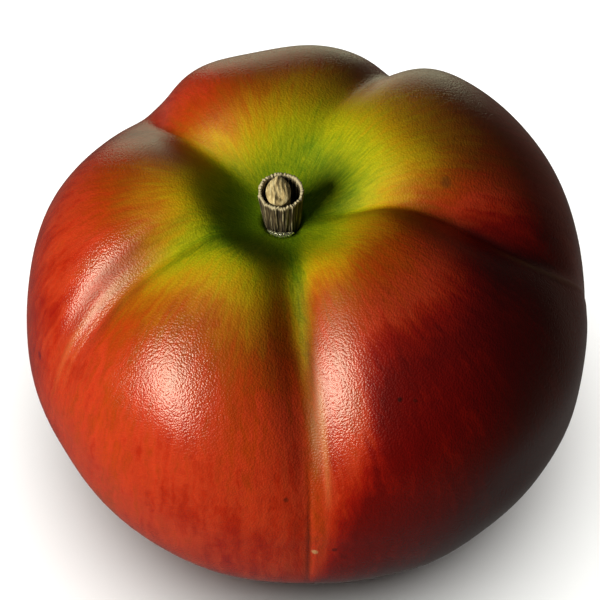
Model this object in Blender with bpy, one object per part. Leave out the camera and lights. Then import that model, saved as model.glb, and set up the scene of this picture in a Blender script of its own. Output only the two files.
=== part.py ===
"""A five-lobed beefsteak tomato with the cut stub of its stem, resting on its blossom end.

Metres, +Z up. The origin is the centre of the small flat spot that the fruit rests on.
The Z axis runs up through the fruit, -Y is its front, and azimuths turn from +X towards +Y.
"""
import math
from collections import namedtuple

import bmesh
import bpy
import numpy as np

# Fruit body, before the cavity and the grooves are pressed into it
BODY_RADIUS = 0.0453
BODY_HALF_HEIGHT = 0.0334
BODY_FULLNESS = 2.40        # power of the superellipse: 2 is an ellipsoid, more is squarer
FLAT_SPOT_DEPTH = 0.0010    # slice that the fruit's own weight flattens at the blossom end

# Cavity in the top, where the stem stands a little to one side of the middle
CAVITY_DEPTH = 0.0110
CAVITY_RADIUS = 0.0117
CAVITY_SKEW = 0.14          # share by which it is wider on one side and narrower on the other
CAVITY_WIDE_SIDE = 40       # azimuth of the wider side, in degrees
CAVITY_STEEPNESS = 3.0      # power of the bell curve: more has a flatter floor, steeper walls
STEM_OFFSET_X = -0.0039
STEM_OFFSET_Y = 0.0014
OFFSET_FADES_OUT = 0.50     # share of the way down the skin where the shift has died out

# Grooves between the lobes, anticlockwise from above. Angles in degrees, the rest in metres
# azimuth: where the groove crosses the widest part
# turn: how far its upper end swings away from there; bow: how far its middle bends aside
# crease: half width of its rounded bottom
# near, far: widths over which its clockwise and its anticlockwise side come up, at the widest
# part; pinch: power of the radius by which they narrow towards the stem
# fades, ends: shares of the way down the skin between which it grows shallow
# swell: how much the lobe that follows it stands out
Groove = namedtuple("Groove", "azimuth turn bow depth crease near far pinch fades ends swell")
GROOVES = (
    Groove(1, 8, -10, 0.0052, 0.0011, 0.0095, 0.0080, 1.0, 0.22, 0.60, -0.0002),
    Groove(69, 2, -3, 0.0052, 0.0020, 0.0034, 0.0060, -0.5, 0.34, 0.60, -0.0033),
    Groove(130, 4.5, 3, 0.0084, 0.0019, 0.0080, 0.0135, 0.6, 0.28, 0.56, -0.0003),
    Groove(209.5, -1, -2, 0.0046, 0.0020, 0.0075, 0.0120, 1.0, 0.24, 0.54, 0.0000),
    Groove(271, 5.4, -1, 0.0064, 0.0032, 0.0115, 0.0120, 1.0, 0.30, 0.62, 0.0000),
)
GROOVE_RISES_WITHIN = 0.0120    # distance from the stem over which a groove gains its depth
GROOVE_LINE_STRAIGHTENS = 0.45  # share of the way down the skin
NARROWEST = 0.1                 # share of the body's radius where the narrowing stops
SHALLOW_WIDENS = 1.2            # how much wider a groove is where it has lost its depth
UNDERSIDE_DEPTH = 0.15          # share of a groove's depth that carries on underneath
UNDERSIDE_FADES_FROM = 0.75
UNDERSIDE_ENDS = 0.92
GROOVE_PULL_FADES_FROM = 90     # angles from a groove over which its pull dies out, in degrees
GROOVE_PULL_ENDS = 170

# Stem stub: a bark sleeve round a core that has shrunk away from it
STEM_HEIGHT = 0.0076            # above the cavity's floor
STEM_LEAN_X = -1.5              # degrees, towards -X
STEM_FOOT_RADIUS = 0.0025
STEM_TOP_RADIUS = 0.0033
STEM_FLARE_POWER = 0.8
BARK_RIBS = 13
BARK_RIB_HEIGHT = 0.00018
BARK_WALL = 0.00042
WELL_DEPTH = 0.0050
CORE_RADIUS_X = 0.0019
CORE_RADIUS_Y = 0.0025
CORE_SHIFT_X = -0.00040
CORE_TAPER = 0.85               # its lower end against its upper
CORE_CROWN = 0.0008             # height of the core's domed end
CORE_DOME_SHARE = 0.8           # share of the dome's quarter circle, above which it is cut flat
CORE_SINK = 0.0002              # how far the dome's rim lies under the sleeve's rim

# Clear bead round the front of the stem's foot
BEAD_RADIUS = 0.00042
BEAD_FROM = 228                 # azimuths, in degrees
BEAD_TO = 302
BEAD_LUMPS = 3
BEAD_LUMP_DEPTH = 0.14          # share of its radius lost between the lumps
BEAD_END_SHARE = 0.35           # share of its radius left at its two ends

GAP = 0.0003                    # between neighbouring pieces
SOCKET_DEPTH = 0.0015

# Mesh fineness
FRUIT_SIDES = 96
FRUIT_RINGS = 36
BARK_SIDES = 52
BARK_RINGS = 6
CORE_SIDES = 28
CORE_CROWN_RINGS = 4
BEAD_POINTS = 19
BEAD_RESOLUTION = 3
SHARP_ANGLE = 50                # degrees: edges sharper than this aren't smoothed

HALF_CHORD = 0.005              # radians, for the slope of the fruit's meridian

CENTRE_HEIGHT = BODY_HALF_HEIGHT - FLAT_SPOT_DEPTH


def plain_body(polar):
    """Radius and height of a superellipse at a polar angle, which is 0 at the stem."""
    power = 2 / BODY_FULLNESS
    cosine = np.cos(polar)
    radius = BODY_RADIUS * np.abs(np.sin(polar)) ** power
    height = BODY_HALF_HEIGHT * np.sign(cosine) * np.abs(cosine) ** power
    return radius, height


def meridian(polar, azimuth):
    """The plain body with a bell-shaped cavity, whose width follows a cosine of the azimuth."""
    radius, height = plain_body(polar)
    skew = 1 + CAVITY_SKEW * np.cos(np.radians(azimuth - CAVITY_WIDE_SIDE))
    cavity = CAVITY_DEPTH * np.exp(-(radius / (CAVITY_RADIUS * skew)) ** CAVITY_STEEPNESS)
    return radius, height - np.where(np.cos(polar) > 0, cavity, 0)


def body_normal(polar):
    """Outward direction across the plain body's outline, from a short chord along it."""
    upper_radius, upper_height = plain_body(np.clip(polar - HALF_CHORD, 0, math.pi))
    lower_radius, lower_height = plain_body(np.clip(polar + HALF_CHORD, 0, math.pi))
    run = lower_radius - upper_radius
    drop = lower_height - upper_height
    length = np.hypot(run, drop)
    return -drop / length, run / length


def ease(value, start, end):
    """Goes from 1 at start to 0 at end along half a cosine wave."""
    share = np.clip((value - start) / (end - start), 0, 1)
    return 0.5 + 0.5 * np.cos(math.pi * share)


def angle_between(first, second):
    """Smallest angle between two azimuths, in degrees."""
    return np.abs((first - second + 180) % 360 - 180)


def groove_inset(groove, down, radius, azimuth):
    """How far one groove presses the skin in: a rounded crease whose sides rise exponentially."""
    share = np.clip(down / GROOVE_LINE_STRAIGHTENS, 0, 1)
    line = groove.azimuth + groove.turn * (1 - share) + groove.bow * np.sin(math.pi * share)
    away = np.radians((azimuth - line + 180) % 360 - 180) * radius
    gained = 1 - np.exp(-(radius / GROOVE_RISES_WITHIN) ** 3)
    side = UNDERSIDE_DEPTH + (1 - UNDERSIDE_DEPTH) * ease(down, groove.fades, groove.ends)
    along = side * ease(down, UNDERSIDE_FADES_FROM, UNDERSIDE_ENDS)
    width = np.where(away > 0, groove.far, groove.near)
    width = width * np.maximum(radius / BODY_RADIUS, NARROWEST) ** groove.pinch
    width = width * (1 + SHALLOW_WIDENS * (1 - side))
    across = np.exp(-(np.hypot(away, groove.crease) - groove.crease) / width)
    turned = angle_between(azimuth, groove.azimuth)
    across = across * ease(turned, GROOVE_PULL_FADES_FROM, GROOVE_PULL_ENDS)
    return groove.depth * gained * along * across


def lobe_swell(index, polar, azimuth):
    """How far one lobe stands out: a cosine hump from its groove to the next, widest halfway down."""
    start = GROOVES[index].azimuth
    end = GROOVES[(index + 1) % len(GROOVES)].azimuth
    half_width = ((end - start) % 360) / 2
    hump = ease(angle_between(azimuth, start + half_width), 0, half_width)
    return GROOVES[index].swell * hump * np.sin(polar) ** 2


def fruit_skin(polar, azimuth):
    """Points of the skin for arrays of polar angles in radians and azimuths in degrees.

    The body is pushed in along the plain body's normal by the grooves and out by the lobes,
    and its upper part is shifted sideways, so that the cavity lies off the middle.
    """
    radius, height = meridian(polar, azimuth)
    outwards, upwards = body_normal(polar)
    down = polar / math.pi
    push = np.zeros_like(polar)
    for index, groove in enumerate(GROOVES):
        push += lobe_swell(index, polar, azimuth)
        push -= groove_inset(groove, down, radius, azimuth)
    radius = radius + push * outwards
    height = height + push * upwards
    shift = ease(down, 0, OFFSET_FADES_OUT)
    turn = np.radians(azimuth)
    x = radius * np.cos(turn) + STEM_OFFSET_X * shift
    y = radius * np.sin(turn) + STEM_OFFSET_Y * shift
    return np.stack([x, y, height + CENTRE_HEIGHT], axis=-1)


def finish(name, bm, material, parent=None):
    """Turns a bmesh into a smooth-shaded object with its faces outwards."""
    bmesh.ops.recalc_face_normals(bm, faces=bm.faces)
    mesh = bpy.data.meshes.new(name)
    bm.to_mesh(mesh)
    bm.free()
    mesh.shade_smooth()
    mesh.set_sharp_from_angle(angle=math.radians(SHARP_ANGLE))
    mesh.materials.append(material)
    obj = bpy.data.objects.new(name, mesh)
    obj.parent = parent
    bpy.context.scene.collection.objects.link(obj)
    return obj


def surface_material(name, colour, roughness, metallic=0.0):
    material = bpy.data.materials.new(name)
    material.use_nodes = True
    shader = material.node_tree.nodes["Principled BSDF"]
    shader.inputs["Base Color"].default_value = (*colour, 1)
    shader.inputs["Roughness"].default_value = roughness
    shader.inputs["Metallic"].default_value = metallic
    return material


def loft(rings):
    """A closed solid through rings of equally many points, capped at its first and last ring."""
    bm = bmesh.new()
    loops = [[bm.verts.new(point) for point in ring] for ring in rings]
    for lower, upper in zip(loops, loops[1:]):
        count = len(lower)
        for side in range(count):
            after = (side + 1) % count
            bm.faces.new((lower[side], lower[after], upper[after], upper[side]))
    bm.faces.new(reversed(loops[0]))
    bm.faces.new(loops[-1])
    return bm


def make_fruit(socket_cutter):
    """The lobed fruit, from a sphere reshaped by the skin's formula and sliced flat below."""
    bm = bmesh.new()
    bmesh.ops.create_uvsphere(bm, u_segments=FRUIT_SIDES, v_segments=FRUIT_RINGS, radius=1)
    sphere = np.array([vertex.co for vertex in bm.verts])
    polar = np.arccos(np.clip(sphere[:, 2], -1, 1))
    azimuth = np.degrees(np.arctan2(sphere[:, 1], sphere[:, 0])) % 360
    for vertex, point in zip(bm.verts, fruit_skin(polar, azimuth)):
        vertex.co = point
    everything = bm.verts[:] + bm.edges[:] + bm.faces[:]
    cut = bmesh.ops.bisect_plane(
        bm, geom=everything, plane_co=(0, 0, 0), plane_no=(0, 0, 1), clear_inner=True)
    rim = [piece for piece in cut["geom_cut"] if isinstance(piece, bmesh.types.BMEdge)]
    bmesh.ops.contextual_create(bm, geom=rim)
    skin = surface_material("ripe_skin", (0.46, 0.055, 0.02), 0.38)
    fruit = finish("fruit", bm, skin)
    socket = fruit.modifiers.new("stem_socket", "BOOLEAN")
    socket.operation = "DIFFERENCE"
    socket.solver = "EXACT"
    socket.object = socket_cutter
    return fruit


def stem_radius(share, angle):
    """Radius of the ribbed bark, share of the way up: it flares, and a cosine makes its ribs."""
    flare = STEM_FOOT_RADIUS + (STEM_TOP_RADIUS - STEM_FOOT_RADIUS) * share ** STEM_FLARE_POWER
    return flare + BARK_RIB_HEIGHT * (0.5 + 0.5 * math.cos(BARK_RIBS * angle))


def stem_ring(radius_at, height, sides):
    """One ring round the stem's own axis, its radius given by a function of the angle."""
    points = []
    for side in range(sides):
        angle = 2 * math.pi * side / sides
        radius = radius_at(angle)
        points.append((radius * math.cos(angle), radius * math.sin(angle), height))
    return points


def make_bark(stem_base):
    """The ribbed sleeve: up its outside, over the rim and down into the well."""
    foot = GAP - SOCKET_DEPTH
    rings = []
    for step in range(BARK_RINGS + 1):
        share = step / BARK_RINGS
        height = foot + (STEM_HEIGHT - foot) * share
        rings.append(stem_ring(lambda angle: stem_radius(share, angle), height, BARK_SIDES))
    well_floor = STEM_HEIGHT - WELL_DEPTH
    well_share = (well_floor - foot) / (STEM_HEIGHT - foot)
    for share, height in ((1, STEM_HEIGHT), (well_share, well_floor)):
        inner = stem_radius(share, math.pi / BARK_RIBS) - BARK_WALL
        rings.append(stem_ring(lambda angle: inner, height, BARK_SIDES))
    bark = surface_material("stem_bark_fibre", (0.10, 0.065, 0.03), 0.75)
    return finish("stem_bark", loft(rings), bark, stem_base)


def core_ring(scale, height):
    """An oval ring round the core's shifted axis."""
    points = []
    for side in range(CORE_SIDES):
        angle = 2 * math.pi * side / CORE_SIDES
        x = CORE_SHIFT_X + scale * CORE_RADIUS_X * math.cos(angle)
        points.append((x, scale * CORE_RADIUS_Y * math.sin(angle), height))
    return points


def make_core(stem_base):
    """The oval core, standing in the well, with a low domed end."""
    shoulder = STEM_HEIGHT - CORE_SINK
    rings = [core_ring(CORE_TAPER, STEM_HEIGHT - WELL_DEPTH + GAP), core_ring(1, shoulder)]
    for step in range(1, CORE_CROWN_RINGS + 1):
        tilt = CORE_DOME_SHARE * step / CORE_CROWN_RINGS * math.pi / 2
        rings.append(core_ring(math.cos(tilt), shoulder + CORE_CROWN * math.sin(tilt)))
    pith = surface_material("dry_pith", (0.30, 0.24, 0.13), 0.85)
    return finish("stem_core", loft(rings), pith, stem_base)


def make_bead():
    """The bead: a thin uneven arc that lies on the cavity's floor against the stem's foot."""
    path_radius = STEM_FOOT_RADIUS + BARK_RIB_HEIGHT + GAP + BEAD_RADIUS
    curve = bpy.data.curves.new("foot_bead", "CURVE")
    curve.dimensions = "3D"
    curve.bevel_depth = BEAD_RADIUS
    curve.bevel_resolution = BEAD_RESOLUTION
    curve.use_fill_caps = True
    spline = curve.splines.new("POLY")
    spline.points.add(BEAD_POINTS - 1)
    for index, point in enumerate(spline.points):
        share = index / (BEAD_POINTS - 1)
        angle = math.radians(BEAD_FROM + (BEAD_TO - BEAD_FROM) * share)
        swell = math.sin(math.pi * share) ** 0.5
        lump = 0.5 - 0.5 * math.cos(2 * math.pi * BEAD_LUMPS * share)
        point.radius = max(BEAD_END_SHARE, swell * (1 - BEAD_LUMP_DEPTH * (1 - lump)))
        x = STEM_OFFSET_X + path_radius * math.cos(angle)
        y = STEM_OFFSET_Y + path_radius * math.sin(angle)
        floor = cavity_floor(path_radius, math.degrees(angle))
        point.co = (x, y, floor + GAP + BEAD_RADIUS, 1)
    curve.materials.append(surface_material("clear_bead", (0.80, 0.84, 0.66), 0.12))
    bead = bpy.data.objects.new("foot_bead", curve)
    bpy.context.scene.collection.objects.link(bead)
    return bead


def cavity_floor(radius, azimuth):
    """Height of the smooth skin at a small distance from the stem's axis."""
    polar = math.asin((radius / BODY_RADIUS) ** (BODY_FULLNESS / 2))
    return float(meridian(polar, azimuth)[1]) + CENTRE_HEIGHT


def make_stem_base():
    """An empty at the stem's foot, leaning as the stem does, that carries the stem's pieces."""
    base = bpy.data.objects.new("stem_base", None)
    base.location = (STEM_OFFSET_X, STEM_OFFSET_Y, cavity_floor(0, 0))
    base.rotation_euler = (0, math.radians(STEM_LEAN_X), 0)
    bpy.context.scene.collection.objects.link(base)
    return base


def make_socket_cutter(stem_base):
    """The hole that the stem's foot stands in: the foot's outline with the gap round it."""
    radius = STEM_FOOT_RADIUS + BARK_RIB_HEIGHT + GAP
    rings = [stem_ring(lambda angle: radius, height, BARK_SIDES)
             for height in (-SOCKET_DEPTH, SOCKET_DEPTH)]
    plain = surface_material("cutter", (0.5, 0.5, 0.5), 0.5)
    cutter = finish("socket_cutter", loft(rings), plain, stem_base)
    cutter.hide_render = True
    cutter.display_type = "WIRE"
    return cutter


for old in list(bpy.data.objects):
    bpy.data.objects.remove(old, do_unlink=True)
stem_base = make_stem_base()
make_fruit(make_socket_cutter(stem_base))
make_bark(stem_base)
make_core(stem_base)
make_bead()
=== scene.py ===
"""A beefsteak tomato with the cut stub of its stem: its finished surfaces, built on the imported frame."""
import math
from collections import namedtuple

import bpy
import numpy as np
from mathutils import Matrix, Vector


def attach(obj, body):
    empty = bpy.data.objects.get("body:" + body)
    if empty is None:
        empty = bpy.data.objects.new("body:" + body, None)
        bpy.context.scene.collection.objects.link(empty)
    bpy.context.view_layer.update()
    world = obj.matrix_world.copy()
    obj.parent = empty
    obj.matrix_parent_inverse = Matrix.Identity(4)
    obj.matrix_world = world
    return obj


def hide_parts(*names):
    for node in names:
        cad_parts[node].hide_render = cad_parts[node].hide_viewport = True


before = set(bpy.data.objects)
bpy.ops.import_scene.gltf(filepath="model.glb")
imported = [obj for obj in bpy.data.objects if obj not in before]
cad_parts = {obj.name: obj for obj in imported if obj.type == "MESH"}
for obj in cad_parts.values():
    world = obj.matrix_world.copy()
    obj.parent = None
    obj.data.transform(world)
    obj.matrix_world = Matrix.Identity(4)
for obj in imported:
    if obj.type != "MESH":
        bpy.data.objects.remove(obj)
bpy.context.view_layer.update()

# The fruit: one lobed berry in a taut waxy skin. It grew as one piece, so it is one closed surface, a
# squarish ellipsoid with the stem's cavity, five grooves and the blossom scar pressed into it.
BODY_RADIUS = 0.0453
BODY_HALF_HEIGHT = 0.0334
BODY_FULLNESS = 2.40            # power of the superellipse: 2 is an ellipsoid, more is squarer
FLAT_SPOT_DEPTH = 0.0010        # slice that the fruit's own weight flattens
FLAT_SPOT_EDGE = 0.0005         # how softly the flat spot runs into the skin round it
CENTRE_HEIGHT = BODY_HALF_HEIGHT - FLAT_SPOT_DEPTH
CAVITY_DEPTH = 0.0110
CAVITY_RADIUS = 0.0117
CAVITY_SKEW = 0.14              # share by which it is wider on one side and narrower on the other
CAVITY_WIDE_SIDE = 40           # azimuth of the wider side, in degrees
CAVITY_STEEPNESS = 3.0
STEM_PLACE = (-0.0039, 0.0014)
OFFSET_FADES_OUT = 0.50         # share of the way down the skin where the cavity's shift has died out
SOCKET_DEPTH = 0.0015           # the skin dips round the stem's foot
SOCKET_FROM = 0.0025            # between these distances from the stem's axis
SOCKET_TO = 0.0032

# azimuth: where the groove crosses the widest part; turn, bow: how its line swings aside above it
# near, far: widths of its clockwise and its anticlockwise side; pinch: how they narrow upwards
Groove = namedtuple("Groove", "azimuth turn bow depth crease near far pinch fades ends swell")
GROOVES = (
    Groove(1, 8, -10, 0.0052, 0.0011, 0.0095, 0.0080, 1.0, 0.22, 0.60, -0.0002),
    Groove(69, 2, -3, 0.0052, 0.0020, 0.0034, 0.0060, -0.5, 0.34, 0.60, -0.0033),
    Groove(130, 4.5, 3, 0.0084, 0.0019, 0.0080, 0.0135, 0.6, 0.28, 0.56, -0.0003),
    Groove(209.5, -1, -2, 0.0046, 0.0020, 0.0090, 0.0120, 1.0, 0.24, 0.54, 0.0000),
    Groove(271, 5.4, -1, 0.0064, 0.0032, 0.0115, 0.0095, 1.0, 0.30, 0.62, 0.0000),
)
GROOVE_RISES_WITHIN = 0.0120
GROOVE_LINE_STRAIGHTENS = 0.45
NARROWEST = 0.1
SHALLOW_WIDENS = 1.2
UNDERSIDE_DEPTH = 0.15
UNDERSIDE_FADES_FROM = 0.75
UNDERSIDE_ENDS = 0.92
GROOVE_PULL_FADES_FROM = 90     # degrees from a groove over which its pull dies out
GROOVE_PULL_ENDS = 170

# Raised seams and fine creases beside a groove's line. above, below: distance from the line at the
# upper and the lower end, anticlockwise; pale: how pale the skin is there, partly bleached skin and partly
# a painted highlight along the ridge
Seam = namedtuple("Seam", "groove above below width height pale starts ends")
SEAMS = (
    Seam(3, -0.0014, -0.0024, 0.0006, 0.00006, 0.20, 0.12, 0.46),
    Seam(3, -0.0002, -0.0006, 0.0005, 0.00006, 0.12, 0.14, 0.44),
    Seam(3, -0.0034, -0.0046, 0.0010, -0.00022, 0.00, 0.12, 0.44),
    Seam(4, 0.0028, 0.0014, 0.0009, 0.00012, 0.16, 0.17, 0.40),
    Seam(4, 0.0030, 0.0026, 0.0005, 0.00008, 0.32, 0.20, 0.45),
    Seam(4, -0.0002, -0.0006, 0.0005, -0.00025, 0.00, 0.36, 0.62),
    Seam(0, -0.0018, -0.0024, 0.0005, 0.00020, 0.30, 0.22, 0.50),
)
LUMP_SIZE = 0.015               # wavelength of the skin's slight unevenness
LUMP_HEIGHT = 0.00010
LUMP_WAVES = 16
LUMPS_FROM = 0.005              # between these distances from the axis the unevenness comes in
LUMPS_TO = 0.020
BLOSSOM_SCAR_RADIUS = 0.0022
BLOSSOM_SCAR_DEPTH = 0.0005

SKIN_RINGS = 210
SKIN_COLUMNS = 448
RINGS_GATHER = 1.25             # power that gathers the rings towards the stem
COLUMNS_GATHER = 3              # how many times closer the columns stand in a groove
COLUMNS_GATHER_WITHIN = 4       # degrees


def plain_body(polar):
    """Radius and height of a superellipse at a polar angle."""
    power = 2 / BODY_FULLNESS
    cosine = np.cos(polar)
    radius = BODY_RADIUS * np.abs(np.sin(polar)) ** power
    height = BODY_HALF_HEIGHT * np.sign(cosine) * np.abs(cosine) ** power
    return radius, height


def meridian(polar, azimuth):
    """The plain body less a bell curve for the cavity, whose width follows a cosine of the azimuth."""
    radius, height = plain_body(polar)
    skew = 1 + CAVITY_SKEW * np.cos(np.radians(azimuth - CAVITY_WIDE_SIDE))
    cavity = CAVITY_DEPTH * np.exp(-(radius / (CAVITY_RADIUS * skew)) ** CAVITY_STEEPNESS)
    return radius, height - np.where(np.cos(polar) > 0, cavity, 0)


def body_normal(polar):
    """Outward direction across the plain body's outline, from a chord of 0.01 radian along it."""
    half_chord = 0.005
    upper_radius, upper_height = plain_body(np.clip(polar - half_chord, 0, math.pi))
    lower_radius, lower_height = plain_body(np.clip(polar + half_chord, 0, math.pi))
    run = lower_radius - upper_radius
    drop = lower_height - upper_height
    length = np.hypot(run, drop)
    return -drop / length, run / length


def ease(value, start, end):
    """Goes from 1 at start to 0 at end along half a cosine wave."""
    share = np.clip((value - start) / (end - start), 0, 1)
    return 0.5 + 0.5 * np.cos(math.pi * share)


def signed_angle(first, second):
    """Turn from the second azimuth to the first, between -180 and 180 degrees."""
    return (first - second + 180) % 360 - 180


def distance_from_line(groove, down, radius, azimuth):
    """Metres along the skin from a groove's line, anticlockwise positive."""
    share = np.clip(down / GROOVE_LINE_STRAIGHTENS, 0, 1)
    line = groove.azimuth + groove.turn * (1 - share) + groove.bow * np.sin(math.pi * share)
    return np.radians(signed_angle(azimuth, line)) * radius


def groove_inset(groove, down, radius, azimuth):
    """How far a groove presses the skin in: a rounded crease whose sides rise exponentially."""
    away = distance_from_line(groove, down, radius, azimuth)
    gained = 1 - np.exp(-(radius / GROOVE_RISES_WITHIN) ** 3)
    side = UNDERSIDE_DEPTH + (1 - UNDERSIDE_DEPTH) * ease(down, groove.fades, groove.ends)
    along = side * ease(down, UNDERSIDE_FADES_FROM, UNDERSIDE_ENDS)
    width = np.where(away > 0, groove.far, groove.near)
    width = width * np.maximum(radius / BODY_RADIUS, NARROWEST) ** groove.pinch
    width = width * (1 + SHALLOW_WIDENS * (1 - side))
    across = np.exp(-(np.hypot(away, groove.crease) - groove.crease) / width)
    turned = np.abs(signed_angle(azimuth, groove.azimuth))
    across = across * ease(turned, GROOVE_PULL_FADES_FROM, GROOVE_PULL_ENDS)
    return groove.depth * gained * along * across


def lobe_swell(index, polar, azimuth):
    """How far a lobe stands out: a cosine hump from its groove to the next, widest halfway down."""
    start = GROOVES[index].azimuth
    half_width = ((GROOVES[(index + 1) % len(GROOVES)].azimuth - start) % 360) / 2
    hump = ease(np.abs(signed_angle(azimuth, start + half_width)), 0, half_width)
    return GROOVES[index].swell * hump * np.sin(polar) ** 2


def seam_ridge(seam, down, radius, azimuth):
    """Share of a seam's height at each point: a bell curve across it that fades in and out along it."""
    share = np.clip((down - seam.starts) / (seam.ends - seam.starts), 0, 1)
    middle = seam.above + (seam.below - seam.above) * share
    away = distance_from_line(GROOVES[seam.groove], down, radius, azimuth) - middle
    return np.exp(-(away / seam.width) ** 2) * np.sin(math.pi * share) ** 0.8


def unevenness(points, size, waves, seed):
    """Smooth noise from -1 to 1: plane sine waves of one length, in random directions."""
    draw = np.random.default_rng(seed)
    directions = draw.normal(size=(3, waves))
    directions *= 2 * math.pi / size / np.linalg.norm(directions, axis=0)
    phases = draw.uniform(0, 2 * math.pi, waves)
    return np.sin(points @ directions + phases).sum(-1) / math.sqrt(waves)


def blossom_scar(radius, down):
    """Share of the blossom scar at each point: a flat-topped bell curve round the lower end."""
    return np.exp(-(radius / BLOSSOM_SCAR_RADIUS) ** 4) * (down > 0.5)


def gathered_azimuths():
    """Azimuths of the columns, which stand closer together near each groove's line."""
    fine = np.linspace(0, 360, 7201)
    crowd = np.ones_like(fine)
    for groove in GROOVES:
        apart = signed_angle(fine, groove.azimuth) / COLUMNS_GATHER_WITHIN
        crowd += COLUMNS_GATHER * np.exp(-apart ** 2)
    total = np.concatenate([[0], np.cumsum((crowd[1:] + crowd[:-1]) / 2)])
    return np.interp(np.arange(SKIN_COLUMNS) / SKIN_COLUMNS * total[-1], total, fine)


def fruit_skin(polar, azimuth):
    """Points of the skin for grids of polar angles in radians and azimuths in degrees.

    The body is pushed along the plain body's normal, in by the grooves and out by the lobes and
    seams. Its upper part is shifted sideways, and its underside is pressed flat.
    """
    radius, height = meridian(polar, azimuth)
    outwards, upwards = body_normal(polar)
    down = polar / math.pi
    push = np.zeros_like(polar)
    for index, groove in enumerate(GROOVES):
        push += lobe_swell(index, polar, azimuth)
        push -= groove_inset(groove, down, radius, azimuth)
    for seam in SEAMS:
        push += seam.height * seam_ridge(seam, down, radius, azimuth)
    turn = np.radians(azimuth)
    around = np.stack([radius * np.cos(turn), radius * np.sin(turn), height], -1)
    lumps = LUMP_HEIGHT * unevenness(around, LUMP_SIZE, LUMP_WAVES, 3)
    push += lumps * ease(-radius, -LUMPS_TO, -LUMPS_FROM)
    socket = SOCKET_DEPTH * ease(radius, SOCKET_FROM, SOCKET_TO) * (down < 0.5)
    radius = radius + push * outwards
    height = height + push * upwards - socket + CENTRE_HEIGHT
    height = (height + np.hypot(height, FLAT_SPOT_EDGE)) / 2
    height = height - height[-1].min()
    height = height + BLOSSOM_SCAR_DEPTH * blossom_scar(radius, down)
    shift = ease(down, 0, OFFSET_FADES_OUT)
    x = radius * np.cos(turn) + STEM_PLACE[0] * shift
    y = radius * np.sin(turn) + STEM_PLACE[1] * shift
    return np.stack([x, y, height], axis=-1)


def closed_surface(name, grid, attributes):
    """A mesh object over a grid of points whose rows close round, its end rows gathered to a point.

    The rows go down as the columns go anticlockwise seen from above, so the faces point outwards.
    An attribute is a grid of numbers or of vectors with the same rows and columns.
    """
    rows, columns = grid.shape[:2]

    def per_vertex(values):
        ends = [values[:1].mean(1), values[-1:].mean(1)]
        inner = values[1:-1].reshape(-1, *values.shape[2:])
        return np.concatenate([ends[0], inner, ends[1]])

    vertices = per_vertex(grid)
    ids = 1 + np.arange((rows - 2) * columns).reshape(rows - 2, columns)
    after = np.roll(ids, -1, axis=1)
    first = np.zeros(columns, int)
    last = np.full(columns, len(vertices) - 1)
    quads = np.stack([ids[:-1], ids[1:], after[1:], after[:-1]], -1).reshape(-1, 4)
    upper_fan = np.stack([first, ids[0], after[0]], -1)
    lower_fan = np.stack([last, after[-1], ids[-1]], -1)
    mesh = bpy.data.meshes.new(name)
    mesh.from_pydata(vertices.tolist(), [], upper_fan.tolist() + quads.tolist() + lower_fan.tolist())
    for label, values in attributes.items():
        kind, field = ("FLOAT_VECTOR", "vector") if values.ndim == 3 else ("FLOAT", "value")
        attribute = mesh.attributes.new(label, kind, "POINT")
        attribute.data.foreach_set(field, per_vertex(values).astype(np.float32).ravel())
    mesh.shade_smooth()
    made = bpy.data.objects.new(name, mesh)
    bpy.context.scene.collection.objects.link(made)
    return made


# How ripe the skin is, from 0, green, to 1, crimson
# Share of the way down where the skin has turned ochre, by azimuth: it is green furthest over the
# two back lobes and beside the left groove
GREEN_REACH = ((0, 0.085), (18, 0.155), (45, 0.180), (75, 0.180), (100, 0.125), (120, 0.084),
               (150, 0.110), (165, 0.125), (185, 0.120), (200, 0.125), (215, 0.135), (232, 0.110),
               (245, 0.102), (258, 0.106), (275, 0.080), (292, 0.082), (330, 0.078))
# How ripe the rest of each side is, by azimuth: coral over the front left lobe, redder on the left
RIPEST = ((0, 0.82), (60, 0.82), (110, 0.78), (190, 0.86), (222, 0.74), (255, 0.81), (290, 0.84))
TURN_SHARPNESS = 1.6            # how sharply the skin turns from green to its ripest
# The crimson patch: how much riper it is, its azimuth at the widest part and how that leans along
# it, in degrees to a whole way down, and where its sides and its upper edge fade
CRIMSON = 0.22
CRIMSON_AZIMUTH = 306
CRIMSON_LEAN = 55
CRIMSON_SIDES = ((-25, -34), (32, 56))
CRIMSON_FROM = (0.14, 0.29)

# Green streaks beside a groove's line, and how much less ripe they are. They fade from the first
# share of the way down to their own end
STREAKS_FADE_FROM = 0.12
Streak = namedtuple("Streak", "groove away width green ends")
STREAKS = (
    Streak(0, 0.0000, 0.0015, 0.06, 0.30),
    Streak(1, 0.0000, 0.0030, 0.05, 0.32),
    Streak(2, 0.0000, 0.0034, 0.20, 0.34),
    Streak(3, 0.0006, 0.0040, 0.16, 0.30),
    Streak(4, 0.0004, 0.0019, 0.16, 0.26),
    Streak(4, 0.0009, 0.0016, 0.27, 0.80),
    Streak(4, -0.0085, 0.0062, 0.13, 0.56),
    Streak(4, 0.0072, 0.0030, 0.10, 0.66),
)
# Painted shade: streaks along and beside the grooves where the skin's colour is darkened to stand for the
# shade in and beside their creases; share of its brightness lost
PaintedShade = namedtuple("PaintedShade", "groove away width dark ends")
PAINTED_SHADES = (
    PaintedShade(4, -0.0020, 0.0026, 0.38, 0.76),
    PaintedShade(4, 0.0008, 0.0019, 0.36, 0.42),
    PaintedShade(4, 0.0017, 0.0009, 0.16, 0.62),
    PaintedShade(4, 0.0150, 0.0060, 0.12, 0.50),
    PaintedShade(3, 0.0014, 0.0010, 0.30, 0.56),
    PaintedShade(3, -0.0036, 0.0013, 0.24, 0.54),
    PaintedShade(3, -0.0012, 0.0010, 0.12, 0.54),
)
PAINTED_SHADE_DULLS = 2.5                # how much duller the skin is under the painted shade


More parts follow.
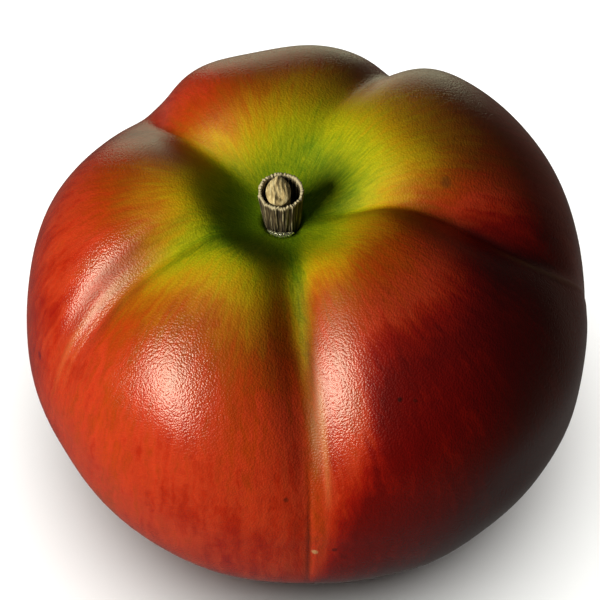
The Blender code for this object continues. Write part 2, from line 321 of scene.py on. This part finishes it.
def ripeness(polar, azimuth):
    """Grid of ripeness: it rises to its most as a power of one half, and the streaks lower it."""
    down = polar / math.pi
    radius = meridian(polar, azimuth)[0]
    reach = np.interp(azimuth, *zip(*GREEN_REACH), period=360)
    ripest = np.interp(azimuth, *zip(*RIPEST), period=360)
    ripe = ripest * (1 - 0.5 ** ((down / reach) ** TURN_SHARPNESS))
    side = signed_angle(azimuth, CRIMSON_AZIMUTH + CRIMSON_LEAN * (0.5 - down))
    patch = ease(-side, -CRIMSON_SIDES[0][0], -CRIMSON_SIDES[0][1]) * ease(side, *CRIMSON_SIDES[1])
    ripe += CRIMSON * patch * (1 - ease(down, *CRIMSON_FROM))
    for streak in STREAKS:
        away = distance_from_line(GROOVES[streak.groove], down, radius, azimuth) - streak.away
        gained = 1 - np.exp(-(radius / GROOVE_RISES_WITHIN) ** 2)
        line = np.exp(-(away / streak.width) ** 2) * ease(down, STREAKS_FADE_FROM, streak.ends)
        ripe -= streak.green * gained * line
    return np.clip(ripe, 0, 1)


def painted_shade_loss(down, radius, azimuth):
    """Grid of the brightness lost to painted shade: a bell curve across each streak of it, faded out along
    it.
    """
    gained = 1 - np.exp(-(radius / GROOVE_RISES_WITHIN) ** 3)
    total = np.zeros_like(down)
    for streak in PAINTED_SHADES:
        away = distance_from_line(GROOVES[streak.groove], down, radius, azimuth) - streak.away
        line = np.exp(-(away / streak.width) ** 2) * ease(down, STREAKS_FADE_FROM, streak.ends)
        total += streak.dark * gained * line
    return total


def linear(code):
    """An sRGB hex colour as linear red, green, blue and alpha."""
    shares = [int(code[place:place + 2], 16) / 255 for place in (1, 3, 5)]
    return (*[s / 12.92 if s <= 0.04045 else ((s + 0.055) / 1.055) ** 2.4 for s in shares], 1)


def add_node(tree, kind, settings, inputs, stops=()):
    """Adds a shader node and returns it. settings are its own properties, and inputs gives each
    socket, by its name or number, a value, or the socket or node that it is linked to. stops are a
    colour ramp's places and hex colours.
    """
    made = tree.nodes.new("ShaderNode" + kind)
    for label, value in settings.items():
        setattr(made, label, value)
    for label, value in inputs.items():
        if isinstance(value, bpy.types.Node):
            value = next(socket for socket in value.outputs if socket.enabled)
        if isinstance(value, bpy.types.NodeSocket):
            tree.links.new(value, made.inputs[label])
        else:
            made.inputs[label].default_value = value
    if stops:
        made.color_ramp.elements.remove(made.color_ramp.elements[1])
        made.color_ramp.elements[0].position = stops[0][0]
        made.color_ramp.elements[0].color = linear(stops[0][1])
        for place, code in stops[1:]:
            made.color_ramp.elements.new(place).color = linear(code)
    return made


def new_material(label):
    """An empty node material, its tree and its principled shader."""
    material = bpy.data.materials.new(label)
    material.use_nodes = True
    tree = material.node_tree
    return material, tree, tree.nodes["Principled BSDF"]


# The skin is waxy but dull near the stem, and turns glossy between these distances from the axis
DULL_WITHIN = 0.015
GLOSSY_FROM = 0.030

share = np.linspace(0, 1, SKIN_RINGS + 1) ** RINGS_GATHER
polar, azimuth = np.meshgrid(math.pi * share, gathered_azimuths(), indexing="ij")
skin_points = fruit_skin(polar, azimuth)
down = polar / math.pi
radius, height = meridian(polar, azimuth)
# The strands run down the skin: they narrow with it towards the stem, and shorten as much
STRAND_STRETCH = 7              # length of a strand against its width
STRANDS_NARROW_TO = 0.006       # distance from the axis within which they narrow no more
steps = np.hypot(np.diff(radius[:, 0]), np.diff(height[:, 0]))
narrowed = np.maximum(radius[1:, 0], STRANDS_NARROW_TO) / BODY_RADIUS
arc = np.concatenate([[0], np.cumsum(steps / narrowed)])[:, None] + 0 * azimuth
around = np.radians(azimuth)
strand = np.stack([BODY_RADIUS * np.cos(around), BODY_RADIUS * np.sin(around),
                   arc / STRAND_STRETCH], -1)
# Painted shade along the grooves' creases, which also dulls the skin there
painted_shade = painted_shade_loss(down, radius, azimuth)
# Pale tan along the seams: partly bleached skin, partly a painted highlight on their ridges
seam_pale_and_highlight = sum(seam.pale * seam_ridge(seam, down, radius, azimuth) for seam in SEAMS)
dull_top = ease(radius, DULL_WITHIN, GLOSSY_FROM) * (down < 0.5)
dullness = np.clip(dull_top + PAINTED_SHADE_DULLS * painted_shade, 0, 1)
scar_share = blossom_scar(radius, down)
fruit = closed_surface("fruit_skin", skin_points, {
    "ripeness": ripeness(polar, azimuth), "strand": strand, "seam": seam_pale_and_highlight, "scar": scar_share,
    "dullness": dullness, "painted_shade": painted_shade})

# Small blemishes: share of the way down and azimuth where they lie, their radius and colour, and how
# much of it they take on
Mark = namedtuple("Mark", "down azimuth size colour strength")
MARKS = (
    Mark(0.510, 271.2, 0.0007, "#a8906a", 0.6),
    Mark(0.505, 275.4, 0.0006, "#4a0606", 0.8),
    Mark(0.426, 265.8, 0.0006, "#3a1408", 0.6),
    Mark(0.449, 198.2, 0.0010, "#5a0a18", 0.7),
    Mark(0.270, 296.2, 0.0005, "#200604", 0.8),
    Mark(0.279, 298.7, 0.0004, "#2a0a04", 0.6),
    Mark(0.163, 8.2, 0.0012, "#4a3010", 0.5),
)
MARK_EDGE = 0.0004              # how far its ragged edge strays

# Ripe tomato skin: a clear waxy cuticle over coloured flesh, grown, never polished. It gives soft
# broad highlights broken by fine cells, and colour that runs in strands from the stem.
STRAND_WIDTH = 0.0004
WAVER_SIZE = 0.003              # wavelength over which the strands waver
WAVER = 0.0018                  # how far they waver
FINGER_WIDTH = 0.0016           # the ragged edge between green, orange and red
BLOTCH_SIZE = 0.009
RAGGEDNESS = 0.045              # how much riper or less ripe the fingers and the blotches are
STRAND_RIPENESS = 0.03
STRAND_BRIGHTNESS = 0.12        # how much brighter or darker a strand is
CELL_BRIGHTER = 0.05            # a cell's middle
CELL_DARKER = -0.07             # the lines between cells
CELL_SIZE = 0.00031
CELL_RELIEF = 0.000052
STRAND_RELIEF = 0.000020
GLOSSY_ROUGHNESS = 0.25
DULL_ROUGHNESS = 0.60
GLOSSY_SPECULAR = 0.52
DULL_SPECULAR = 0.08
CUTICLE_IOR = 1.45
RIPENESS_COLOURS = ((0.00, "#5a780a"), (0.09, "#78880a"), (0.20, "#98960a"), (0.34, "#a68408"),
                    (0.47, "#9c5e06"), (0.57, "#904204"), (0.68, "#983206"), (0.77, "#a42f14"),
                    (0.83, "#921f06"), (0.90, "#7c0c02"), (1.00, "#5c0301"))
skin, tree, shader = new_material("waxy_tomato_skin")
place = add_node(tree, "TexCoord", {}, {}).outputs["Object"]
strands = add_node(tree, "Attribute", {"attribute_name": "strand"}, {}).outputs["Vector"]
waver = add_node(tree, "TexNoise", {}, {"Vector": place, "Scale": 1 / WAVER_SIZE, "Detail": 1})
strands = add_node(tree, "VectorMath", {"operation": "MULTIPLY_ADD"}, {
    0: waver.outputs["Color"], 1: (WAVER,) * 3, 2: strands}).outputs[0]
ripe = add_node(tree, "Attribute", {"attribute_name": "ripeness"}, {}).outputs["Fac"]
fine = add_node(tree, "TexNoise", {}, {
    "Vector": strands, "Scale": 0.35 / STRAND_WIDTH, "Detail": 3, "Roughness": 0.65})
fingers = add_node(tree, "TexNoise", {}, {
    "Vector": strands, "Scale": 1 / FINGER_WIDTH, "Detail": 3, "Roughness": 0.6})
blotches = add_node(tree, "TexNoise", {}, {
    "Vector": place, "Scale": 1 / BLOTCH_SIZE, "Detail": 4, "Roughness": 0.55})
by_fingers = add_node(tree, "MapRange", {}, {
    "Value": fingers, "From Min": 0.3, "From Max": 0.7, "To Min": -RAGGEDNESS, "To Max": RAGGEDNESS})
by_blotches = add_node(tree, "MapRange", {}, {
    "Value": blotches, "From Min": 0.3, "From Max": 0.7, "To Min": -RAGGEDNESS, "To Max": RAGGEDNESS})
by_strands = add_node(tree, "MapRange", {}, {
    "Value": fine, "From Min": 0.3, "From Max": 0.7,
    "To Min": -STRAND_RIPENESS, "To Max": STRAND_RIPENESS})
ripe = add_node(tree, "Math", {"operation": "ADD"}, {0: ripe, 1: by_fingers})
ripe = add_node(tree, "Math", {"operation": "ADD"}, {0: ripe, 1: by_blotches})
ripe = add_node(tree, "Math", {"operation": "ADD"}, {0: ripe, 1: by_strands})
flesh = add_node(tree, "ValToRGB", {}, {"Fac": ripe}, RIPENESS_COLOURS)
cells = add_node(tree, "TexVoronoi", {"feature": "SMOOTH_F1"}, {
    "Vector": place, "Scale": 1 / CELL_SIZE, "Smoothness": 0.3})
brightness = add_node(tree, "MapRange", {}, {
    "Value": fine, "From Min": 0.3, "From Max": 0.7,
    "To Min": 1 - STRAND_BRIGHTNESS, "To Max": 1 + STRAND_BRIGHTNESS})
by_cells = add_node(tree, "MapRange", {}, {
    "Value": cells, "From Min": 0.1, "From Max": 0.6, "To Min": CELL_BRIGHTER, "To Max": CELL_DARKER})
brightness = add_node(tree, "Math", {"operation": "ADD"}, {0: brightness, 1: by_cells})
# The painted shade darkens the skin along the grooves' creases
painted_shade_there = add_node(tree, "Attribute", {"attribute_name": "painted_shade"}, {}).outputs["Fac"]
brightness = add_node(tree, "Math", {"operation": "SUBTRACT"}, {0: brightness, 1: painted_shade_there})
flesh = add_node(tree, "HueSaturation", {}, {"Color": flesh, "Value": brightness})
# The seams' pale tan: partly bleached skin, partly a painted highlight on their ridges
seam_pale_and_highlight_there = add_node(tree, "Attribute", {"attribute_name": "seam"}, {}).outputs["Fac"]
flesh = add_node(tree, "Mix", {"data_type": "RGBA"}, {0: seam_pale_and_highlight_there, 6: flesh, 7: linear("#b08a50")})
scar_there = add_node(tree, "Attribute", {"attribute_name": "scar"}, {}).outputs["Fac"]
flesh = add_node(tree, "Mix", {"data_type": "RGBA"}, {0: scar_there, 6: flesh, 7: linear("#5b4026")})
strayed = add_node(tree, "VectorMath", {"operation": "MULTIPLY_ADD"}, {
    0: fine.outputs["Color"], 1: (MARK_EDGE,) * 3, 2: place})
for mark in MARKS:
    row = np.abs(down[:, 0] - mark.down).argmin()
    column = np.abs(signed_angle(azimuth[0], mark.azimuth)).argmin()
    centre = skin_points[row, column] + MARK_EDGE / 2
    apart = add_node(tree, "VectorMath", {"operation": "DISTANCE"}, {0: strayed, 1: centre.tolist()})
    within = add_node(tree, "MapRange", {"interpolation_type": "SMOOTHSTEP"}, {
        "Value": apart.outputs["Value"], "From Min": 0.4 * mark.size, "From Max": mark.size,
        "To Min": mark.strength, "To Max": 0})
    flesh = add_node(tree, "Mix", {"data_type": "RGBA"}, {
        0: within, 6: flesh.outputs[2], 7: linear(mark.colour)})
tree.links.new(flesh.outputs[2], shader.inputs["Base Color"])
bumps = add_node(tree, "Bump", {"invert": True}, {"Height": cells, "Distance": CELL_RELIEF})
bumps = add_node(tree, "Bump", {}, {"Height": fine, "Distance": STRAND_RELIEF, "Normal": bumps})
tree.links.new(bumps.outputs[0], shader.inputs["Normal"])
dull = add_node(tree, "Attribute", {"attribute_name": "dullness"}, {}).outputs["Fac"]
rough = add_node(tree, "MapRange", {}, {
    "Value": dull, "To Min": GLOSSY_ROUGHNESS, "To Max": DULL_ROUGHNESS})
sheen = add_node(tree, "MapRange", {}, {
    "Value": dull, "To Min": GLOSSY_SPECULAR, "To Max": DULL_SPECULAR})
tree.links.new(rough.outputs[0], shader.inputs["Roughness"])
tree.links.new(sheen.outputs[0], shader.inputs["Specular IOR Level"])
shader.inputs["IOR"].default_value = CUTICLE_IOR
shader.inputs["Subsurface Weight"].default_value = 0.08
shader.inputs["Subsurface Radius"].default_value = (1.0, 0.35, 0.1)
shader.inputs["Subsurface Scale"].default_value = 0.002
fruit.data.materials.append(skin)
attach(fruit, "root")
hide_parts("fruit")

# The stem's sleeve: the dry ribbed bark of the cut stub, 8 mm tall, rooted in the cavity. It has
# shrunk into a tube with a ragged pale rim, because its core dried away from it.
CAVITY_FLOOR = BODY_HALF_HEIGHT - CAVITY_DEPTH + CENTRE_HEIGHT
STEM_HEIGHT = 0.0076
STEM_LEAN_X = math.radians(-1.5)
STEM_FOOT = -0.0012             # its lower end, under the skin
STEM_FOOT_RADIUS = 0.0025
STEM_TOP_RADIUS = 0.0033
STEM_FLARE_POWER = 0.8
BARK_RIBS = 13
BARK_RIB_HEIGHT = 0.00018
BARK_WALL = 0.00042
RIM_ROUNDING = 0.00012
RIM_DEPTH = 0.0006              # how far down from the rim it is bleached
WELL_DEPTH = 0.0050
WELL_TAPER = 0.0004             # how much narrower the well is at its floor
FIBRE_HEIGHT = 0.00006
FIBRE_COUNTS = (23, 34, 41, 57, 71)
FIBRE_SWAY_LENGTH = 0.008       # height over which the fibres swing aside and back
FIBRE_STRETCH = 10              # length of a thread against its width
RAGGED_HEIGHT = 0.00016
BARK_COLUMNS = 300


def on_stem(points):
    """Moves points from the stem's own frame to their place: leant about Y, then set on the floor."""
    x, y, z = points[..., 0], points[..., 1], points[..., 2]
    leant_x = x * math.cos(STEM_LEAN_X) + z * math.sin(STEM_LEAN_X)
    leant_z = z * math.cos(STEM_LEAN_X) - x * math.sin(STEM_LEAN_X)
    return np.stack([leant_x + STEM_PLACE[0], y + STEM_PLACE[1], leant_z + CAVITY_FLOOR], -1)


def ring_noise(angle, height, counts, wander, seed):
    """Ribs round a ring from -1 to 1: cosines of whole counts, whose phase wanders with height."""
    draw = np.random.default_rng(seed)
    total = np.zeros(np.broadcast(angle, height).shape)
    for count in counts:
        phase, sway, rate = draw.uniform(0, 2 * math.pi, 3)
        swing = np.sin(rate / FIBRE_SWAY_LENGTH * height + sway)
        total += np.cos(count * angle + phase + wander * swing)
    return total / math.sqrt(len(counts))


def bark_relief(angle, height):
    """The bark's fibres, from -1 to 1: five counts of ribs, whose phases wander 1.5 radians."""
    return ring_noise(angle, height, FIBRE_COUNTS, 1.5, 9)


def bark_profile(angle):
    """Rows of radius and of height, for a row of angles: from the well's floor up its side, over the
    rim in half a circle, and down the flared and ribbed outside to the foot.
    """
    inner = STEM_TOP_RADIUS + 0.5 * BARK_RIB_HEIGHT - BARK_WALL
    floor = STEM_HEIGHT - WELL_DEPTH
    top = STEM_HEIGHT + RAGGED_HEIGHT * ring_noise(angle, 0, (3, 7, 13, 29, 41), 0, 21)
    rows = [(0 * angle, floor + 0 * angle), (0.5 * inner + 0 * angle, floor + 0 * angle)]
    for share in np.linspace(0, 1, 14):
        rough = 0.5 * FIBRE_HEIGHT * ring_noise(angle, share * WELL_DEPTH, (17, 31, 47), 2, 5)
        rows.append((inner - WELL_TAPER * (1 - share) + rough, floor + (top - floor) * share))
    for turn in np.linspace(0.2, 0.8, 4) * math.pi:
        across = inner + BARK_WALL / 2 * (1 - math.cos(turn)) + 0 * angle
        rows.append((across, top + RIM_ROUNDING * math.sin(turn)))
    for share in np.linspace(1, 0, 44):
        level = STEM_FOOT + (top - STEM_FOOT) * share
        flare = STEM_FOOT_RADIUS + (STEM_TOP_RADIUS - STEM_FOOT_RADIUS) * share ** STEM_FLARE_POWER
        ribs = BARK_RIB_HEIGHT * (0.5 + 0.5 * np.cos(BARK_RIBS * angle))
        fibres = FIBRE_HEIGHT * bark_relief(angle, level)
        rows.append((flare + ribs + fibres, level))
    rows.append((0.5 * STEM_FOOT_RADIUS + 0 * angle, STEM_FOOT + 0 * angle))
    rows.append((0 * angle, STEM_FOOT + 0 * angle))
    return np.array([row[0] for row in rows]), np.array([row[1] for row in rows])


angle = np.linspace(0, 2 * math.pi, BARK_COLUMNS, endpoint=False)
bark_radius, bark_height = bark_profile(angle)
bark_points = on_stem(np.stack([bark_radius * np.cos(angle), bark_radius * np.sin(angle),
                                bark_height], -1))
rim_share = np.clip(1 - (STEM_HEIGHT - bark_height) / RIM_DEPTH, 0, 1)
girth = 0.003 + 0 * bark_height
fibre_vector = np.stack([girth * np.cos(angle), girth * np.sin(angle), bark_height / FIBRE_STRETCH], -1)
bark = closed_surface("bark_sleeve", bark_points, {
    "relief": bark_relief(angle, bark_height), "rim": rim_share, "fibre": fibre_vector})

# Dry stem bark: weathered plant fibre, shrunk lengthwise as it dried. It gives dull brown flutes
# with pale grey-tan threads on their crests and a bleached, torn rim.
THREAD_WIDTH = 0.00025
THREAD_RELIEF = 0.00012
fibre_wood, tree, shader = new_material("dry_stem_bark")
lengthwise = add_node(tree, "Attribute", {"attribute_name": "fibre"}, {}).outputs["Vector"]
relief_there = add_node(tree, "Attribute", {"attribute_name": "relief"}, {}).outputs["Fac"]
rim_there = add_node(tree, "Attribute", {"attribute_name": "rim"}, {}).outputs["Fac"]
threads = add_node(tree, "TexNoise", {}, {
    "Vector": lengthwise, "Scale": 0.5 / THREAD_WIDTH, "Detail": 3, "Roughness": 0.7})
lift = add_node(tree, "MapRange", {}, {
    "Value": relief_there, "From Min": -1.4, "From Max": 1.4, "To Min": -0.25, "To Max": 0.25})
tone = add_node(tree, "Math", {"operation": "ADD"}, {0: threads, 1: lift})
bark_colour = add_node(tree, "ValToRGB", {}, {"Fac": tone}, (
    (0.30, "#15110a"), (0.48, "#302617"), (0.62, "#564a33"), (0.76, "#9c947a")))
bark_colour = add_node(tree, "Mix", {"data_type": "RGBA"}, {
    0: rim_there, 6: bark_colour.outputs[0], 7: linear("#a89e84")})
tree.links.new(bark_colour.outputs[2], shader.inputs["Base Color"])
bark_bump = add_node(tree, "Bump", {}, {"Height": threads, "Distance": THREAD_RELIEF})
tree.links.new(bark_bump.outputs[0], shader.inputs["Normal"])
shader.inputs["Roughness"].default_value = 0.72
bark.data.materials.append(fibre_wood)
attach(bark, "root")
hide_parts("stem_bark")

# The stem's core: the pale pith that stands in the sleeve, dried smaller than it. Its torn end has
# a ridge to a point at the back, a hollow at the front and fibres along its length.
CORE_RADIUS_X = 0.0019
CORE_RADIUS_Y = 0.0025
CORE_SHIFT_X = -0.00040
CORE_TAPER = 0.85
CORE_SHOULDER = STEM_HEIGHT - 0.0002
CORE_FOOT = STEM_HEIGHT - WELL_DEPTH + 0.0003
CORE_CROWN = 0.0007
RIDGE_HEIGHT = 0.0007
RIDGE_X = -0.0001
RIDGE_WIDTH = 0.0009
HOLLOW_DEPTH = 0.00055
HOLLOW_X = 0.0003
HOLLOW_Y = -0.0012
HOLLOW_WIDTH = 0.0006
GRAIN_HEIGHT = 0.00005
GRAIN_WIDTH = 0.00011
GRAIN_SWAY_LENGTH = 0.0008
CORE_COLUMNS = 160


def core_rows(angle):
    """Points of the core: rings out over its torn end, then straight down its side to its foot.

    The end is a cubic crown with a pointed ridge, less a bell-shaped hollow, with cosine grain.
    """
    rows = []
    for share in np.linspace(0, 1, 26):
        x = share * CORE_RADIUS_X * np.cos(angle)
        y = share * CORE_RADIUS_Y * np.sin(angle)
        crown = CORE_CROWN * (1 - share ** 3)
        back = np.clip(y / CORE_RADIUS_Y, 0, 1)
        ridge = RIDGE_HEIGHT * back ** 1.5 * np.exp(-np.abs(x - RIDGE_X) / RIDGE_WIDTH)
        hollow = HOLLOW_DEPTH * np.exp(
            -((x - HOLLOW_X) / HOLLOW_WIDTH) ** 2 - ((y - HOLLOW_Y) / HOLLOW_WIDTH) ** 2)
        waves = np.cos(x / GRAIN_WIDTH + 2 * np.sin(y / GRAIN_SWAY_LENGTH))
        level = CORE_SHOULDER + crown + ridge - hollow + GRAIN_HEIGHT * waves * (1 - share ** 6)
        rows.append(np.stack([x + CORE_SHIFT_X, y, level], -1))
    rim = rows[-1]
    foot = np.stack([CORE_TAPER * CORE_RADIUS_X * np.cos(angle) + CORE_SHIFT_X,
                     CORE_TAPER * CORE_RADIUS_Y * np.sin(angle), CORE_FOOT + 0 * angle], -1)
    for share in np.linspace(0.04, 1, 12):
        rows.append(rim + (foot - rim) * share)
    rows.append(foot * [0, 0, 1] + [CORE_SHIFT_X, 0, 0])
    return np.array(rows)


angle = np.linspace(0, 2 * math.pi, CORE_COLUMNS, endpoint=False)
core_grid = core_rows(angle)
PITH_FIBRE_WIDTH = 0.00025
PITH_FIBRE_LENGTH = 0.0012
core = closed_surface("core_pith", on_stem(core_grid), {
    "grain": core_grid * [1 / PITH_FIBRE_WIDTH, 1 / PITH_FIBRE_LENGTH, 1 / PITH_FIBRE_LENGTH]})

# Dry pith: soft bleached plant tissue, torn across. It gives a chalky cream end with brown fibres.
PITH_RELIEF = 0.0002
pith, tree, shader = new_material("dry_pith")
grain = add_node(tree, "Attribute", {"attribute_name": "grain"}, {}).outputs["Vector"]
grain_noise = add_node(tree, "TexNoise", {}, {
    "Vector": grain, "Scale": 0.7, "Detail": 4, "Roughness": 0.65})
pith_colour = add_node(tree, "ValToRGB", {}, {"Fac": grain_noise}, (
    (0.30, "#5a4a2c"), (0.45, "#9a8860"), (0.58, "#c4b48a"), (0.75, "#e0d6b4")))
tree.links.new(pith_colour.outputs[0], shader.inputs["Base Color"])
pith_bump = add_node(tree, "Bump", {}, {"Height": grain_noise, "Distance": PITH_RELIEF})
tree.links.new(pith_bump.outputs[0], shader.inputs["Normal"])
shader.inputs["Roughness"].default_value = 0.85
core.data.materials.append(pith)
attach(core, "root")
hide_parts("stem_core")

# The bead at the stem's foot: a thin uneven run of clear, set gum, lying on the skin against the
# bark. It is one closed surface, a lumpy tube swept round the front of the foot.
BEAD_RADIUS = 0.00042
BEAD_GAP = 0.0003               # between it and the bark
BEAD_PATH_RADIUS = STEM_FOOT_RADIUS + BARK_RIB_HEIGHT + BEAD_GAP + BEAD_RADIUS
BEAD_FROM = math.radians(228)
BEAD_TO = math.radians(302)
BEAD_LUMPS = 3
BEAD_LUMP_DEPTH = 0.14
BEAD_END_SHARE = 0.35
BEAD_ROUNDED_ENDS = 0.03        # share of its length over which each end is rounded off
BEAD_RIPPLE = 0.10
BEAD_FINE_RIPPLE = 0.08
BEAD_LIFT = 0.0002


def bead_grid(steps, sides):
    """Rings of a tube along an arc: its radius swells with a sine and three lumps, ends rounded off."""
    share = np.linspace(0, 1, steps)[:, None]
    round_tube = np.linspace(0, 2 * math.pi, sides, endpoint=False)[None, :]
    path = BEAD_FROM + (BEAD_TO - BEAD_FROM) * share
    swell = np.maximum(BEAD_END_SHARE, np.sin(math.pi * share) ** 0.5)
    lump = 0.5 - 0.5 * np.cos(2 * math.pi * BEAD_LUMPS * share)
    ends = np.clip(np.minimum(share, 1 - share) / BEAD_ROUNDED_ENDS, 0, 1) ** 0.5
    thick = BEAD_RADIUS * swell * (1 - BEAD_LUMP_DEPTH * (1 - lump)) * ends
    ripple = 1 + BEAD_RIPPLE * np.cos(3 * round_tube + 40 * share)
    ripple = ripple + BEAD_FINE_RIPPLE * np.cos(2 * round_tube - 63 * share)
    outward = BEAD_PATH_RADIUS + thick * ripple * np.cos(round_tube)
    floor_polar = np.arcsin((BEAD_PATH_RADIUS / BODY_RADIUS) ** (BODY_FULLNESS / 2))
    lies_at = meridian(floor_polar, np.degrees(path))[1] + CENTRE_HEIGHT + BEAD_LIFT
    x = STEM_PLACE[0] + outward * np.cos(path)
    y = STEM_PLACE[1] + outward * np.sin(path)
    z = lies_at + BEAD_RADIUS * 0.8 + thick * ripple * np.sin(round_tube)
    return np.stack([x, y, z], -1)


bead = closed_surface("gum_bead", bead_grid(96, 24)[:, ::-1], {})

# Set plant gum: clear, glossy and slightly yellow, run out and dried. It gives small wet sparkles.
gum, tree, shader = new_material("clear_gum")
shader.inputs["Base Color"].default_value = linear("#e9edcf")
shader.inputs["Roughness"].default_value = 0.06
shader.inputs["IOR"].default_value = 1.47
shader.inputs["Transmission Weight"].default_value = 0.85
bead.data.materials.append(gum)
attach(bead, "root")
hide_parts("foot_bead")

# The setting: a plain pale floor, one soft warm key light from the left, a weak glow from behind as
# off a pale table, faint light all round, and the camera as high and as far off as the fruit was seen.
# The floor has a light of its own and casts none on the fruit.
FLOOR_HALF = 3.0
bpy.ops.mesh.primitive_plane_add(size=2 * FLOOR_HALF, location=(0, 0, 0))
floor = bpy.context.active_object
floor.name = "floor"
board, tree, shader = new_material("matt_white_board")
shader.inputs["Base Color"].default_value = linear("#f2f1ee")
shader.inputs["Roughness"].default_value = 0.9
floor.data.materials.append(board)
floor.visible_diffuse = False
floor.visible_glossy = False
floor.visible_shadow = False

MIDDLE = (0, 0, 0.036)          # the point on which the lights are trained
KEY_AZIMUTH = math.radians(215)
KEY_ELEVATION = math.radians(31)
KEY_DISTANCE = 0.6
KEY_SIZE = 0.38
KEY_POWER = 6.8
GLOW_DISTANCE = 1.0
GLOW_SIZE = 0.7
GLOW_POWER = 0.9
OVERHEAD_DISTANCE = 1.6
OVERHEAD_SIZE = 2.4
OVERHEAD_POWER = 62


def direction(azimuth, elevation):
    """Unit vector towards an azimuth, anticlockwise from +X, and an elevation."""
    level = math.cos(elevation)
    return np.array([level * math.cos(azimuth), level * math.sin(azimuth), math.sin(elevation)])


def aim(obj, towards, target, distance):
    """Places an object at a distance from a target and turns its -Z axis to look back at it."""
    obj.location = Vector(target) + Vector(towards) * distance
    obj.rotation_euler = (-Vector(towards)).to_track_quat("-Z", "Y").to_euler()
    bpy.context.scene.collection.objects.link(obj)


def disc_light(name, size, power, colour, towards, target, distance):
    """A round area light at a distance from its target."""
    lamp = bpy.data.lights.new(name, "AREA")
    lamp.shape = "DISK"
    lamp.size = size
    lamp.energy = power
    lamp.color = colour
    stand = bpy.data.objects.new(name, lamp)
    aim(stand, towards, target, distance)
    return stand


def lit_only(stand, name, members):
    """Limits a light to the objects given."""
    group = bpy.data.collections.new(name)
    for member in members:
        group.objects.link(member)
    stand.light_linking.receiver_collection = group


tomato = [fruit, bark, core, bead]
key = disc_light("key", KEY_SIZE, KEY_POWER, (1.0, 0.93, 0.72),
                 direction(KEY_AZIMUTH, KEY_ELEVATION), MIDDLE, KEY_DISTANCE)
lit_only(key, "key_group", tomato)
glow = disc_light("table_glow", GLOW_SIZE, GLOW_POWER, (1.0, 1.0, 0.65),
                  direction(math.radians(90), math.radians(-18)), MIDDLE, GLOW_DISTANCE)
lit_only(glow, "glow_group", tomato)
overhead = disc_light("overhead", OVERHEAD_SIZE, OVERHEAD_POWER, (1, 1, 1),
                      direction(math.radians(120), math.radians(84)), (0, 0, 0), OVERHEAD_DISTANCE)
lit_only(overhead, "overhead_group", [floor])

world = bpy.data.worlds.new("soft_room")
world.use_nodes = True
room = world.node_tree
side = add_node(room, "TexCoord", {}, {}).outputs["Generated"]
side = add_node(room, "SeparateXYZ", {}, {0: side}).outputs["Z"]
around_us = add_node(room, "ValToRGB", {}, {
    "Fac": add_node(room, "MapRange", {}, {"Value": side, "From Min": -1, "From Max": 1})},
    ((0.0, "#666a68"), (0.25, "#6a5248"), (0.5, "#3a2e29"), (0.75, "#2c3032"), (1.0, "#4c564e")))
room.links.new(around_us.outputs[0], room.nodes["Background"].inputs["Color"])
room.nodes["Background"].inputs["Strength"].default_value = 1.0
bpy.context.scene.world = world

CAMERA_ELEVATION = math.radians(57)
CAMERA_DISTANCE = 0.55
CAMERA_TARGET = (-0.00123, 0.00132, CENTRE_HEIGHT)
SENSOR_WIDTH = 36
FOCAL_LENGTH_IN_FRAMES = 5.81   # focal length against the frame's width
camera = bpy.data.cameras.new("camera")
camera.sensor_width = SENSOR_WIDTH
camera.lens = SENSOR_WIDTH * FOCAL_LENGTH_IN_FRAMES
viewpoint = bpy.data.objects.new("camera", camera)
aim(viewpoint, direction(math.radians(270), CAMERA_ELEVATION), CAMERA_TARGET, CAMERA_DISTANCE)
bpy.context.scene.camera = viewpoint
bpy.context.scene.view_settings.view_transform = "Standard"
